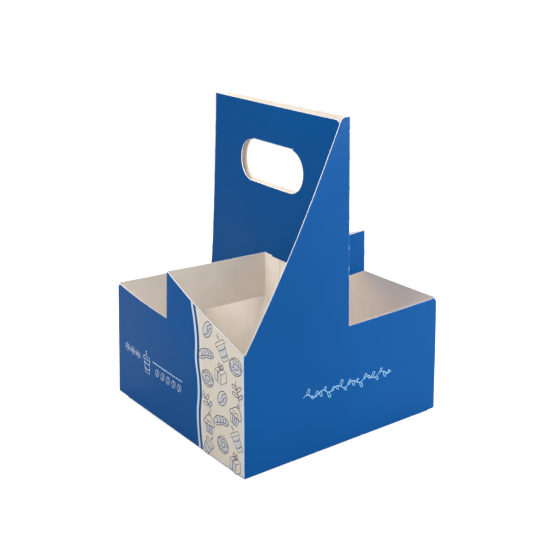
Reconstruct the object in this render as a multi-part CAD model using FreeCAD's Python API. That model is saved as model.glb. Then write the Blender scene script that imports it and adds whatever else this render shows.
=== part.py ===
"""A folding-card carrier for four takeaway cups, with a tall handle down its middle.

One sheet of card is cut, folded and glued.  Four walls and a floor make a tub.  The two
halves of the floor fold up in the middle into a riser of two glued layers.  Above the
low rim, the front wall rises in a slanted wing that folds into a handle panel, and the
left wall rises in a slanted shoulder that folds into a divider strip, whose flap meets
the riser.  The other half of the carrier is this half turned by half a turn about Z.

Millimetres, +Z up, origin at the middle of the underside.  +X runs across the handle
panels and +Y runs along them.
"""

import FreeCAD, Part
import os
from math import pi, sin, cos

Vector = FreeCAD.Vector

# Overall sizes
carrier_length = 180.0
carrier_width = 174.0
wall_height = 90.0
divider_height = 124.0
handle_height = 232.0

# Card and folds
card = 0.6
fold_radius = 1.2
wall_lean = 0.032

# Wings and handle panels
handle_spread = 6.0
wing_top_width = 7.0
wing_corner_radius = 4.0
panel_corner_radius = 3.0
panel_end_gap = 8.0
panel_clearance = 1.0

# Hand slot
slot_length = 77.0
slot_height = 32.0
slot_drop = 28.5
slot_end_flat = 0.5
tab_length = 48.0
tab_height = 15.0
tab_rise = 1.2

# Divider strips, their flaps and the riser
divider_offset = 6.0
flap_width = 18.5

# Glue flaps on the floor
glue_flap_depth = 26.0
glue_flap_taper = 10.0
glue_flap_clearance = 3.0

# Relief notches under the walls, beside two corners
relief_height = 1.1
long_relief = 15.0
short_relief = 7.5

half_length = carrier_length / 2
half_width = carrier_width / 2
inner_radius = fold_radius - card
panel_face = handle_spread / 2
smallest_edge = 1e-6


def lean_at(height):
    """How far a wall has leaned inwards at a height."""
    return wall_lean * height


def rounded_face(corners, place):
    """A flat face from corners (u, v, radius), with an arc at each corner that has a radius."""
    points = [Vector(u, v, 0) for u, v, _ in corners]
    pieces = []
    for index, (_, _, radius) in enumerate(corners):
        here = points[index]
        if not radius:
            pieces.append([here])
            continue
        back = (points[index - 1] - here).normalize()
        ahead = (points[(index + 1) % len(points)] - here).normalize()
        half_angle = back.getAngle(ahead) / 2
        reach = radius * cos(half_angle) / sin(half_angle)
        inward = (back + ahead).normalize()
        peak = here + inward * (radius / sin(half_angle) - radius)
        pieces.append([here + back * reach, peak, here + ahead * reach])
    edges = []
    for index, piece in enumerate(pieces):
        placed = [place(point.x, point.y) for point in piece]
        if len(placed) == 3:
            edges.append(Part.Arc(*placed).toShape())
        following = pieces[(index + 1) % len(pieces)][0]
        if following.distanceToPoint(piece[-1]) > smallest_edge:
            edges.append(Part.makeLine(placed[-1], place(following.x, following.y)))
    return Part.Face(Part.Wire(edges))


def on_front_wall(u, v):
    """A point of the outside of the front wall, u along X and v up."""
    return Vector(u, -half_width + lean_at(v), v)


def on_left_wall(u, v):
    """A point of the outside of the left wall, u along Y and v up."""
    return Vector(-half_length + lean_at(v), u, v)


def across_x(x):
    """A maker of points on the upright plane at x, u along Y and v up."""
    return lambda u, v: Vector(x, u, v)


def across_y(y):
    """A maker of points on the upright plane at y, u along X and v up."""
    return lambda u, v: Vector(u, y, v)


def tapered_block(inset, bottom, radius):
    """The space inside the four leaning walls, rounded along its upright and lower edges."""
    low_x = half_length - inset - lean_at(bottom)
    low_y = half_width - inset - lean_at(bottom)
    high_x = half_length - inset - lean_at(wall_height)
    high_y = half_width - inset - lean_at(wall_height)
    block = Part.makeWedge(
        -low_x, bottom, -low_y, -high_y, -high_x, low_x, wall_height, low_y, high_y, high_x
    )
    block.rotate(Vector(0, 0, 0), Vector(1, 0, 0), 90)
    below_rim = [edge for edge in block.Edges if edge.CenterOfMass.z < wall_height - card]
    return block.makeFillet(radius, below_rim)


def tub():
    """The floor and the four low walls."""
    shell = tapered_block(0, 0, fold_radius).cut(tapered_block(card, card, inner_radius))
    reliefs = [
        Part.makeBox(
            fold_radius + card,
            long_relief,
            relief_height + card,
            Vector(-half_length - card, half_width - long_relief, -card),
        ),
        Part.makeBox(
            short_relief,
            fold_radius + card,
            relief_height + card,
            Vector(half_length - short_relief, -half_width - card, -card),
        ),
    ]
    slit_reach = half_width - card
    slit = Part.makeBox(
        2 * fold_radius, 2 * slit_reach, 2 * card, Vector(-fold_radius, -slit_reach, -card / 2)
    )
    return shell.cut(with_half_turn(reliefs) + [slit])


def fold_section(turn, place):
    """The quarter-round section of a fold, opening towards the angle turn."""
    first = turn - pi / 4
    last = turn + pi / 4
    outer = [place(fold_radius * cos(angle), fold_radius * sin(angle)) for angle in (first, turn, last)]
    inner = [place(inner_radius * cos(angle), inner_radius * sin(angle)) for angle in (last, turn, first)]
    edges = [
        Part.Arc(*outer).toShape(),
        Part.makeLine(outer[2], inner[0]),
        Part.Arc(*inner).toShape(),
        Part.makeLine(inner[2], outer[0]),
    ]
    return Part.Face(Part.Wire(edges))


def upright_fold(x, y, turn, top, lean_x, lean_y):
    """A fold that rises from the rim to a height, with its axis through x and y at the floor."""

    def place(u, v):
        return Vector(x + u + lean_x * wall_height, y + v + lean_y * wall_height, wall_height)

    rise = top - wall_height
    return fold_section(turn, place).extrude(Vector(lean_x * rise, lean_y * rise, rise))


def riser_fold():
    """The fold along Y where the left half of the floor turns up into the riser."""
    reach = half_width - card - lean_at(fold_radius)
    section = fold_section(-pi / 4, lambda u, v: Vector(u - fold_radius, -reach, v + fold_radius))
    return section.extrude(Vector(0, 2 * reach, 0))


def wing():
    """The slanted part of the front wall, from the left corner up to the handle panel."""
    left = -half_length + lean_at(wall_height) + fold_radius
    right = panel_face - fold_radius
    slant_top = panel_face - wing_top_width
    corners = [
        (left, wall_height, 0),
        (right, wall_height, 0),
        (right, handle_height, 0),
        (slant_top, handle_height, wing_corner_radius),
    ]
    return rounded_face(corners, on_front_wall).extrude(Vector(0, card, 0))


def handle_panel():
    """The handle panel that the front wing folds into, with its hand slot."""
    panel_foot = divider_height + panel_clearance
    strip_side = -divider_offset - panel_clearance

    def fold_line(height):
        return -half_width + lean_at(height) + fold_radius

    def free_line(height):
        return half_width - lean_at(height) - panel_end_gap

    corners = [
        (fold_line(wall_height), wall_height, 0),
        (strip_side, wall_height, 0),
        (strip_side, panel_foot, 0),
        (free_line(panel_foot), panel_foot, 0),
        (free_line(handle_height), handle_height, panel_corner_radius),
        (fold_line(handle_height), handle_height, 0),
    ]
    panel = rounded_face(corners, across_x(panel_face)).extrude(Vector(-card, 0, 0))
    return panel.cut(hand_slot())


def hand_slot():
    """The space of the hand slot, a round-ended slot with a straight raised top where its tab folds."""
    top = handle_height - slot_drop
    bottom = top - slot_height
    end_radius = slot_height / 2 - slot_end_flat
    half_slot = slot_length / 2
    corners = [
        (-half_slot, bottom, end_radius),
        (half_slot, bottom, end_radius),
        (half_slot, top, end_radius),
        (-half_slot, top, end_radius),
    ]
    depth = handle_spread + 2 * card
    slot = rounded_face(corners, across_x(-depth / 2)).extrude(Vector(depth, 0, 0))
    raised = Part.makeBox(
        depth, tab_length, end_radius + tab_rise, Vector(-depth / 2, -tab_length / 2, top - end_radius)
    )
    return slot.fuse(raised)


def slot_tab():
    """The tab cut from the hand slot, folded up flat behind the handle panel."""
    fold_height = handle_height - slot_drop + tab_rise
    half_tab = tab_length / 2
    tip = tab_height / 2
    corners = [
        (-half_tab, fold_height, 0),
        (half_tab, fold_height, 0),
        (half_tab, fold_height + tab_height, tip),
        (-half_tab, fold_height + tab_height, tip),
    ]
    return rounded_face(corners, across_x(panel_face - card)).extrude(Vector(-card, 0, 0))


def shoulder():
    """The slanted part of the left wall, from the front corner up to the divider strip."""
    front = -half_width + lean_at(wall_height) + fold_radius
    back = divider_offset - fold_radius
    corners = [
        (front, wall_height, 0),
        (back, wall_height, 0),
        (back, divider_height, 0),
    ]
    return rounded_face(corners, on_left_wall).extrude(Vector(card, 0, 0))


def divider_strip():
    """The strip that the left shoulder folds into, running in to the middle of the carrier."""

    def wall_line(height):
        return -half_length + lean_at(height) + fold_radius

    corners = [
        (wall_line(wall_height), wall_height, 0),
        (-fold_radius, wall_height, 0),
        (-fold_radius, divider_height, 0),
        (wall_line(divider_height), divider_height, 0),
    ]
    return rounded_face(corners, across_y(divider_offset)).extrude(Vector(0, -card, 0))


def riser():
    """One layer of the middle riser, with the flap of the divider strip above it."""
    flap_edge = divider_offset - flap_width
    strip_fold = divider_offset - fold_radius
    foot_reach = half_width - card - lean_at(fold_radius)
    rim_reach = half_width - card - lean_at(wall_height)
    corners = [
        (-foot_reach, fold_radius, 0),
        (foot_reach, fold_radius, 0),
        (rim_reach, wall_height, 0),
        (strip_fold, wall_height, 0),
        (strip_fold, divider_height, 0),
        (flap_edge, divider_height, 0),
        (flap_edge, wall_height, 0),
        (-rim_reach, wall_height, 0),
    ]
    return rounded_face(corners, across_x(0)).extrude(Vector(-card, 0, 0))


def glue_flaps():
    """The two flaps of the front wall that are glued down on the halves of the floor."""
    wall = -half_width + card
    outer_end = half_length - card - glue_flap_clearance
    inner_end = glue_flap_clearance
    tip = wall + glue_flap_depth
    corners = [
        (inner_end, wall, 0),
        (outer_end, wall, 0),
        (outer_end - glue_flap_taper, tip, fold_radius),
        (inner_end + glue_flap_taper, tip, fold_radius),
    ]
    return [
        rounded_face(corners, lambda u, v: Vector(u, v, card)).extrude(Vector(0, 0, card)),
        rounded_face(corners, lambda u, v: Vector(-u, v, card)).extrude(Vector(0, 0, card)),
    ]


def with_half_turn(shapes):
    """The shapes and their copies turned by half a turn about Z."""
    turned = []
    for shape in shapes:
        copy = shape.copy()
        copy.rotate(Vector(0, 0, 0), Vector(0, 0, 1), 180)
        turned.append(copy)
    return shapes + turned


def cup_carrier():
    """The whole folded card as one solid."""
    wing_fold = upright_fold(
        panel_face - fold_radius, -half_width + fold_radius, -pi / 4, handle_height, 0, wall_lean
    )
    shoulder_fold = upright_fold(
        -half_length + fold_radius, divider_offset - fold_radius, 3 * pi / 4, divider_height, wall_lean, 0
    )
    flap_fold = upright_fold(-fold_radius, divider_offset - fold_radius, pi / 4, divider_height, 0, 0)
    folded = [
        wing(),
        wing_fold,
        handle_panel(),
        slot_tab(),
        shoulder(),
        shoulder_fold,
        divider_strip(),
        flap_fold,
        riser(),
        riser_fold(),
    ]
    return tub().fuse(with_half_turn(folded + glue_flaps())).removeSplitter()


def main():
    """Writes the carrier's STEP file."""
    os.makedirs("parts", exist_ok=True)
    carrier = cup_carrier()
    print("solids", len(carrier.Solids), "valid", carrier.isValid(), "volume", round(carrier.Volume))
    print("box", carrier.BoundBox)
    carrier.Solids[0].exportStep("parts/cup_carrier.step")


main()
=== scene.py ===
"""The looks of a folding-card carrier for four takeaway cups.

One printed sheet is cut, folded and glued.  The sheet is modelled as its printed outside,
given its thickness, cut into a fine grid, and bent a little, as stiff card bends.  Sizes
are in millimetres in the same frame as the solid: +Z up, +X across the handle panels, +Y
along them, and the origin in the middle of the underside.
"""

import logging
from collections.abc import Callable
from dataclasses import dataclass, field
from enum import Enum
from math import cos, exp, hypot, pi, radians, sin, tan

import bmesh
import bpy
from mathutils import Matrix, Vector


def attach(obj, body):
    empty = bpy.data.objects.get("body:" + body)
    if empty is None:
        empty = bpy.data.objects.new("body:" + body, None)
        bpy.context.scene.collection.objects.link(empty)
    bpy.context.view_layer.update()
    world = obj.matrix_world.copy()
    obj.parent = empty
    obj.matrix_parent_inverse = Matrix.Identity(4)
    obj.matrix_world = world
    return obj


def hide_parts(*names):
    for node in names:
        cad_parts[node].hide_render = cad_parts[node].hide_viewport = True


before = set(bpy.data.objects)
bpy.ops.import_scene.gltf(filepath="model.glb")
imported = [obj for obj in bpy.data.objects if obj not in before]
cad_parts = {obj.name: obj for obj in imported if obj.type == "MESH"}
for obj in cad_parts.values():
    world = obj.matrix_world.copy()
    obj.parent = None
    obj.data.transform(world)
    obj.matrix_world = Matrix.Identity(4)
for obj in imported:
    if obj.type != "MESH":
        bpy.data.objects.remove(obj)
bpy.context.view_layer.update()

Piece = bpy.types.Object
Socket = bpy.types.NodeSocket

LOG = logging.getLogger("carrier")
MM = 0.001
HALF_TURN = Matrix.Rotation(pi, 4, "Z")
WHITE = (1, 1, 1, 1)
GRAIN_DEPTH = 0.0004
SMOOTH_ANGLE = radians(35)

# How near a place is to count as the same, in millimetres, and how square a direction is
TOUCH = 0.01
ALONG = 0.9
SQUARE = 0.99


class Domain(Enum):
    """What an edit-mode step selects."""

    VERTEX = "VERT"
    EDGE = "EDGE"
    FACE = "FACE"


def metres(x: float, y: float, z: float) -> Vector:
    """A point or a move in metres from millimetres."""
    return Vector((x, y, z)) * MM


def leave_all() -> None:
    """Leaves edit mode and deselects every object."""
    if bpy.context.object is not None and bpy.context.object.mode != "OBJECT":
        bpy.ops.object.mode_set(mode="OBJECT")
    bpy.ops.object.select_all(action="DESELECT")


def work_on(piece: Piece) -> None:
    """Makes a piece the only selected object."""
    leave_all()
    piece.select_set(True)
    bpy.context.view_layer.objects.active = piece


def edit_all(piece: Piece) -> None:
    """Opens a piece in edit mode with all of it selected."""
    work_on(piece)
    bpy.ops.object.mode_set(mode="EDIT")
    bpy.ops.mesh.select_all(action="SELECT")


def apply_modifier(piece: Piece, kind: str, **settings: object) -> None:
    """Applies one modifier with its settings to a piece."""
    work_on(piece)
    modifier = piece.modifiers.new(kind.lower(), kind)
    for name, value in settings.items():
        setattr(modifier, name, value)
    bpy.ops.object.modifier_apply(modifier=modifier.name)


def linked(name: str, data: bpy.types.ID) -> Piece:
    """A new object in the scene, holding some data."""
    piece = bpy.data.objects.new(name, data)
    bpy.context.scene.collection.objects.link(piece)
    return piece


def turned_copy(piece: Piece) -> Piece:
    """A piece's copy on the other half, turned by half a turn about Z."""
    back = linked(piece.name + "_back", piece.data.copy())
    back.data.transform(HALF_TURN)
    return back


def add_slots(piece: Piece) -> None:
    """Gives a piece an empty material slot for each of the card's finishes."""
    for _ in Coat:
        piece.data.materials.append(None)


def register(piece: Piece) -> None:
    """Gives a finished piece its place in the frame and logs it."""
    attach(piece, "root")
    LOG.info("%s: %d faces", piece.name, len(piece.data.polygons))


def block(name: str, size: tuple, centre: tuple) -> Piece:
    """Adds a box at its size and place and opens it in edit mode.

    Args:
        name: The new object's name.
        size: The lengths along X, Y and Z in millimetres.
        centre: The middle in millimetres.

    Returns:
        The new object.
    """
    leave_all()
    bpy.ops.mesh.primitive_cube_add(size=1, location=(0, 0, 0))
    piece = bpy.context.object
    piece.name = name
    piece.data.name = name
    bpy.ops.object.mode_set(mode="EDIT")
    bpy.ops.mesh.select_all(action="SELECT")
    bpy.ops.transform.resize(value=metres(*size), center_override=(0, 0, 0))
    bpy.ops.transform.translate(value=metres(*centre))
    return piece


def select(domain: Domain, test: Callable) -> int:
    """Selects the elements of the mesh in edit mode that pass a test.

    Args:
        domain: Vertices, edges or faces.
        test: A function of the middle in millimetres, then the face's normal or the edge's
            direction and the edge.

    Returns:
        How many elements were selected.
    """
    bpy.ops.mesh.select_mode(type=domain.value)
    bpy.ops.mesh.select_all(action="DESELECT")
    mesh = bmesh.from_edit_mesh(bpy.context.object.data)
    mesh.normal_update()
    if domain is Domain.FACE:
        chosen = [face for face in mesh.faces if test(face.calc_center_median() / MM, face.normal)]
    elif domain is Domain.EDGE:
        chosen = [edge for edge in mesh.edges if test(*middle_and_direction(edge), edge)]
    else:
        chosen = [vertex for vertex in mesh.verts if test(vertex.co / MM)]
    for element in chosen:
        element.select = True
    mesh.select_flush_mode()
    bmesh.update_edit_mesh(bpy.context.object.data)
    return len(chosen)


def middle_and_direction(edge: bmesh.types.BMEdge) -> tuple:
    """An edge's middle in millimetres and its direction."""
    start, end = (corner.co / MM for corner in edge.verts)
    return (start + end) / 2, (end - start).normalized()


def extrude(x: float, y: float, z: float) -> None:
    """Extrudes the selection by a move in millimetres."""
    bpy.ops.mesh.extrude_region_move(TRANSFORM_OT_translate={"value": metres(x, y, z)})


def cut(point: tuple, normal: tuple, clear_outer: bool = False) -> None:
    """Cuts the selection with a plane.

    Args:
        point: A point of the plane in millimetres.
        normal: The plane's normal.
        clear_outer: Whether what lies on the normal's side is removed.
    """
    facing = Vector(normal).normalized()
    bpy.ops.mesh.bisect(plane_co=metres(*point), plane_no=facing, clear_outer=clear_outer)


def cut_faces(test: Callable, point: tuple, normal: tuple, clear_outer: bool = False) -> None:
    """Cuts the faces that pass a test with a plane."""
    select(Domain.FACE, test)
    cut(point, normal, clear_outer)


def fold(angle: float, steps: int, centre: tuple, axis: tuple) -> None:
    """Turns the selected edges round a fold's axis, drawing the fold's arc.

    Args:
        angle: The turn in radians, by the right-hand rule.
        steps: How many faces the arc has.
        centre: A point of the axis in millimetres.
        axis: The axis's direction.
    """
    bpy.ops.mesh.spin(steps=steps, angle=-angle, center=metres(*centre), axis=axis)


@dataclass
class FoldedCard:
    """The cut and folded sheet: the tub, the wings and handle panels, and the dividers."""

    length: float = 180.0
    width: float = 174.0
    wall_height: float = 90.0
    divider_height: float = 124.0
    handle_height: float = 232.0
    card: float = 0.6
    fold_radius: float = 1.2
    fold_steps: int = 4
    lean: float = 0.032
    handle_spread: float = 6.0
    wing_top_width: float = 7.0
    wing_corner_radius: float = 4.0
    panel_corner_radius: float = 3.0
    panel_end_gap: float = 8.0
    panel_clearance: float = 1.0
    divider_offset: float = 6.0
    flap_width: float = 18.5
    riser_clearance: float = 0.15
    slot_length: float = 78.7
    slot_height: float = 31.2
    slot_drop: float = 28.1
    slot_end_flat: float = 0.5
    slot_steps: int = 14
    slot_shift: float = 2.5
    tab_length: float = 50.4
    tab_shift: float = 0.7
    tab_rise: float = 1.2
    tab_overlap: float = 3.0
    relief_height: float = 1.1
    relief_depth: float = 3.0
    long_relief: float = 15.0
    short_relief: float = 7.5
    cell_size: float = 6.0
    cell_rise: float = 4.0
    fold_tilt: float = 0.3
    corner_reach: float = 0.9
    tie_spacing: float = 20.0
    tie_start: float = 105.0
    tie_step: float = 0.8
    half_length: float = field(init=False)
    half_width: float = field(init=False)

    def __post_init__(self) -> None:
        """Works out the half sizes."""
        self.half_length = self.length / 2
        self.half_width = self.width / 2

    def front_at(self, height: float) -> float:
        """Y of the front wall's outside at a height."""
        return -self.half_width + self.lean * height

    def left_at(self, height: float) -> float:
        """X of the left wall's outside at a height."""
        return -self.half_length + self.lean * height

    def build(self) -> Piece:
        """Builds the whole sheet.

        Returns:
            The card as one closed mesh, before it is bent.
        """
        sheet = self.tub()
        for _ in range(2):
            self.riser()
            self.wing_and_panel()
            self.shoulder_and_strip()
            self.turn_half()
        self.join_seams()
        self.thicken(sheet)
        self.cut_openings(sheet)
        self.slice_into_cells(sheet)
        self.mark_folds(sheet)
        return sheet

    def tub(self) -> Piece:
        """The outside of the floor and the four leaning walls.

        Returns:
            The open tub, left in edit mode.
        """
        size = (self.length, self.width, self.wall_height)
        sheet = block("folded_card", size, (0, 0, self.wall_height / 2))
        select(Domain.FACE, lambda at, normal: normal.z > ALONG)
        bpy.ops.mesh.delete(type="ONLY_FACE")
        select(Domain.VERTEX, lambda at: at.z > self.wall_height / 2)
        shrink_x = self.left_at(self.wall_height) / self.left_at(0)
        shrink_y = self.front_at(self.wall_height) / self.front_at(0)
        bpy.ops.transform.resize(value=(shrink_x, shrink_y, 1), center_override=(0, 0, 0))
        select(Domain.EDGE, lambda at, along, edge: at.z < self.wall_height - 1)
        bpy.ops.mesh.bevel(offset=self.fold_radius * MM, segments=self.fold_steps, profile=0.5)
        return sheet

    def riser(self) -> None:
        """The left half of the floor, folded up into one layer of the middle riser."""
        radius = self.fold_radius
        inner = -radius - self.riser_clearance
        cut_faces(lambda at, normal: normal.z < -SQUARE, (inner, 0, 0), (1, 0, 0))
        select(Domain.FACE, lambda at, normal: normal.z < -SQUARE and inner < at.x < 1)
        bpy.ops.mesh.delete(type="FACE")
        select(
            Domain.EDGE,
            lambda at, along, edge: abs(at.x - inner) < TOUCH and abs(along.y) > SQUARE and at.z < TOUCH,
        )
        fold(-pi / 2, self.fold_steps, (inner, 0, radius), (0, 1, 0))
        extrude(0, 0, self.wall_height - radius)

        def on_riser(at: Vector, normal: Vector) -> bool:
            """Whether a face lies on a layer of the riser."""
            return abs(at.x + self.riser_clearance) < 0.5 and abs(normal.x) > ALONG

        inset = self.card + 0.2
        for side in (-1, 1):
            edge_y = side * (self.half_width - inset)
            cut_faces(on_riser, (0, edge_y, 0), (0, side, self.lean), clear_outer=True)

    def wing_and_panel(self) -> None:
        """The front wall's slanted wing and the handle panel that it folds into."""
        radius = self.fold_radius
        rim = self.wall_height
        top = self.handle_height
        rise = top - rim
        fold_x = self.handle_spread / 2 - radius
        corner_x = self.left_at(rim) + radius

        def on_front(at: Vector) -> bool:
            """Whether a point lies on the front wall's outside."""
            return at.y < self.front_at(at.z) + 0.1

        cut_faces(lambda at, normal: normal.y < -SQUARE and on_front(at), (fold_x, 0, 0), (1, 0, 0))

        def rim_under_wing(at: Vector, along: Vector, edge: bmesh.types.BMEdge) -> bool:
            """Whether an edge is the part of the front rim under the wing."""
            on_rim = abs(at.z - rim) < TOUCH and on_front(at)
            return on_rim and abs(along.x) > SQUARE and corner_x - 0.5 < at.x < fold_x

        select(Domain.EDGE, rim_under_wing)
        extrude(0, self.lean * rise, rise)

        slant_top = self.handle_spread / 2 - self.wing_top_width
        slant = (-rise, 0, slant_top - corner_x)
        cut_faces(lambda at, normal: at.z > rim and on_front(at), (corner_x, 0, rim), slant, True)
        self.round_corner((slant_top, self.front_at(top), top), self.wing_corner_radius, radians(120))
        self.select_upright(lambda at: on_front(at) and abs(at.x - fold_x) < TOUCH)
        fold(pi / 2, self.fold_steps, (fold_x, -self.half_width + radius, 0), (0, self.lean, 1))
        extrude(0, self.width, 0)
        panel_x = self.handle_spread / 2

        def on_panel(at: Vector, _: Vector) -> bool:
            """Whether a face lies on the handle panel."""
            return abs(at.x - panel_x) < TOUCH and at.z > rim

        free_end = (0, self.half_width - self.panel_end_gap, 0)
        cut_faces(on_panel, free_end, (0, 1, self.lean), clear_outer=True)
        step_y = -self.divider_offset - self.panel_clearance
        step_z = self.divider_height + self.panel_clearance
        cut_faces(on_panel, (0, step_y, 0), (0, 1, 0))
        cut_faces(on_panel, (0, 0, step_z), (0, 0, 1))
        select(Domain.FACE, lambda at, normal: on_panel(at, normal) and at.y > step_y and at.z < step_z)
        bpy.ops.mesh.delete(type="FACE")
        end_y = -self.front_at(top) - self.panel_end_gap
        self.round_corner((panel_x, end_y, top), self.panel_corner_radius, radians(90))

    def shoulder_and_strip(self) -> None:
        """The left wall's slanted shoulder, its divider strip and the strip's flap."""
        radius = self.fold_radius
        rim = self.wall_height
        rise = self.divider_height - rim
        fold_y = self.divider_offset - radius
        corner_y = self.front_at(rim) + radius
        flap_x = -self.riser_clearance

        def on_left(at: Vector) -> bool:
            """Whether a point lies on the left wall's outside."""
            return at.x < self.left_at(at.z) + 0.1

        cut_faces(lambda at, normal: normal.x < -SQUARE and on_left(at), (0, fold_y, 0), (0, 1, 0))

        def rim_under_shoulder(at: Vector, along: Vector, edge: bmesh.types.BMEdge) -> bool:
            """Whether an edge is the part of the left rim under the shoulder."""
            on_rim = abs(at.z - rim) < TOUCH and on_left(at)
            return on_rim and abs(along.y) > SQUARE and corner_y - 0.5 < at.y < fold_y

        select(Domain.EDGE, rim_under_shoulder)
        extrude(self.lean * rise, 0, rise)
        slant = (0, -rise, fold_y - corner_y)
        cut_faces(lambda at, normal: at.z > rim and on_left(at), (0, corner_y, rim), slant, True)
        self.select_upright(lambda at: on_left(at) and abs(at.y - fold_y) < TOUCH)
        fold(-pi / 2, self.fold_steps, (-self.half_length + radius, fold_y, 0), (self.lean, 0, 1))
        extrude(self.half_length, 0, 0)

        def on_strip(at: Vector) -> bool:
            """Whether a point lies on the divider strip, over the rim."""
            return abs(at.y - self.divider_offset) < TOUCH and at.z > rim

        strip_end = (flap_x - radius, 0, 0)
        cut_faces(lambda at, normal: on_strip(at), strip_end, (1, 0, 0), clear_outer=True)
        self.select_upright(lambda at: abs(at.x - strip_end[0]) < TOUCH and on_strip(at))
        fold(-pi / 2, self.fold_steps, (flap_x - radius, fold_y, 0), (0, 0, 1))
        extrude(0, radius - self.flap_width, 0)

        def on_flap_line(at: Vector, _: Vector) -> bool:
            """Whether a face lies in the flap's plane, under the rim."""
            return abs(at.x - flap_x) < TOUCH and at.z < rim

        for edge_y in (fold_y, self.divider_offset - self.flap_width):
            cut_faces(on_flap_line, (0, edge_y, 0), (0, 1, 0))

    def select_upright(self, test: Callable) -> None:
        """Selects the upright edges over the rim whose middles pass a test."""
        rim = self.wall_height
        select(Domain.EDGE, lambda at, along, edge: at.z > rim and abs(along.z) > ALONG and test(at))

    def round_corner(self, corner: tuple, radius: float, angle: float) -> None:
        """Rounds one corner of the sheet's outline.

        Args:
            corner: Where the corner is, in millimetres.
            radius: The arc's radius.
            angle: The corner's inside angle.
        """
        place = Vector(corner)
        select(Domain.VERTEX, lambda at: (at - place).length < 0.2)
        offset = radius / tan(angle / 2) * MM
        bpy.ops.mesh.bevel(offset=offset, segments=6, profile=0.5, affect="VERTICES")

    def turn_half(self) -> None:
        """Turns the sheet by half a turn about Z, so the other half is made next."""
        bpy.ops.mesh.select_all(action="SELECT")
        bpy.ops.transform.rotate(value=pi, orient_axis="Z", center_override=(0, 0, 0))

    def join_seams(self) -> None:
        """Merges what meets edge to edge and points every face at the printed side."""
        bpy.ops.mesh.select_mode(type="VERT")
        bpy.ops.mesh.select_all(action="SELECT")
        bpy.ops.mesh.remove_doubles(threshold=0.1 * MM)
        bpy.ops.mesh.normals_make_consistent(inside=False)

    def thicken(self, sheet: Piece) -> None:
        """Gives the sheet its thickness, with the board inside and a cut edge round it."""
        leave_all()
        add_slots(sheet)
        apply_modifier(
            sheet,
            "SOLIDIFY",
            thickness=self.card * MM,
            offset=-1,
            use_even_offset=True,
            use_quality_normals=True,
            material_offset=Coat.BOARD.value,
            material_offset_rim=Coat.EDGE.value,
        )

    def cut_openings(self, sheet: Piece) -> None:
        """Cuts the hand slot and the relief notches."""
        slot_top = self.handle_height - self.slot_drop
        slot_middle = slot_top - self.slot_height / 2
        depth = 2 * self.handle_spread
        middle = (0, self.slot_shift, slot_middle)
        slot = block("slot_cutter", (depth, self.slot_length, self.slot_height), middle)
        select(Domain.EDGE, lambda at, along, edge: abs(along.x) > ALONG)
        end_radius = self.slot_height / 2 - self.slot_end_flat
        bpy.ops.mesh.bevel(offset=end_radius * MM, segments=self.slot_steps, profile=0.5)
        rise = self.tab_rise + self.tab_overlap
        tab_top = (0, self.tab_shift, slot_top + self.tab_rise - rise / 2)
        cutters = [slot, block("tab_cutter", (depth, self.tab_length, rise), tab_top)]
        relief = 2 * self.relief_height
        for side in (-1, 1):
            long_y = side * (self.half_width - self.long_relief / 2)
            short_x = side * (self.half_length - self.short_relief / 2)
            long_size = (self.relief_depth, self.long_relief, relief)
            short_size = (self.short_relief, self.relief_depth, relief)
            cutters.append(block("long_cutter", long_size, (-side * self.half_length, long_y, 0)))
            cutters.append(block("short_cutter", short_size, (short_x, -side * self.half_width, 0)))
        for cutter in cutters:
            self.cut_away(sheet, cutter)

    def cut_away(self, sheet: Piece, cutter: Piece) -> None:
        """Cuts a closed shape out of the card, leaving a cut edge, and removes the cutter."""
        leave_all()
        add_slots(cutter)
        for face in cutter.data.polygons:
            face.material_index = Coat.EDGE.value
        apply_modifier(sheet, "BOOLEAN", operation="DIFFERENCE", solver="EXACT", object=cutter)
        bpy.data.objects.remove(cutter)

    def mark_folds(self, sheet: Piece) -> None:
        """Gives the printed upright folds a painted highlight, and the band's corner a pale painted
        highlight.
        """
        for face in sheet.data.polygons:
            squareness = max(abs(part) for part in face.normal)
            upright_fold = squareness <= SQUARE and abs(face.normal.z) <= self.fold_tilt
            if face.material_index != Coat.PRINT.value or not upright_fold:
                continue
            at = face.center / MM
            reach = min(abs(at.y) / self.half_width, abs(at.x) / self.half_length)
            if reach > self.corner_reach:
                # On the near corners the arc's faces towards the band get the pale painted highlight, and
                # the rest keep the plain print.
                towards_band = face.normal.x * face.normal.y > 0
                by_band = towards_band and abs(face.normal.x) > abs(face.normal.y)
                face.material_index = Coat.PALE.value if by_band else Coat.PRINT.value
            else:
                # The other upright fold arcs get the lighter blue painted highlight.
                face.material_index = Coat.FOLD.value

    def slice_into_cells(self, sheet: Piece) -> None:
        """Slices the card into cells small enough to bend smoothly."""
        edit_all(sheet)
        bpy.ops.mesh.select_mode(type="FACE")
        step = self.cell_size
        planes = []
        reach = 1.5 * step
        while reach < self.half_length - step / 3:
            planes += [((reach, 0, 0), (1, 0, 0)), ((-reach, 0, 0), (1, 0, 0))]
            planes += [((0, reach, 0), (0, 1, 0)), ((0, -reach, 0), (0, 1, 0))]
            reach += step
        height = self.cell_rise - 1
        while height < self.handle_height - 1:
            planes.append(((0, 0, height), (0, 0, 1)))
            height += self.cell_rise
        tie = self.tie_start
        while tie < self.handle_height:
            planes += [((0, 0, tie + off), (0, 0, 1)) for off in (-self.tie_step, self.tie_step)]
            tie += self.tie_spacing
        for point, normal in planes:
            bpy.ops.mesh.select_all(action="SELECT")
            cut(point, normal)
        leave_all()


class Coat(Enum):
    """The card's finishes, in the order of its material slots."""

    PRINT = 0
    BOARD = 1
    EDGE = 2
    # The last two are painted highlights: the lighter blue of the upright fold arcs, and the pale line on
    # the corner fold beside the band.
    FOLD = 3
    PALE = 4


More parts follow.
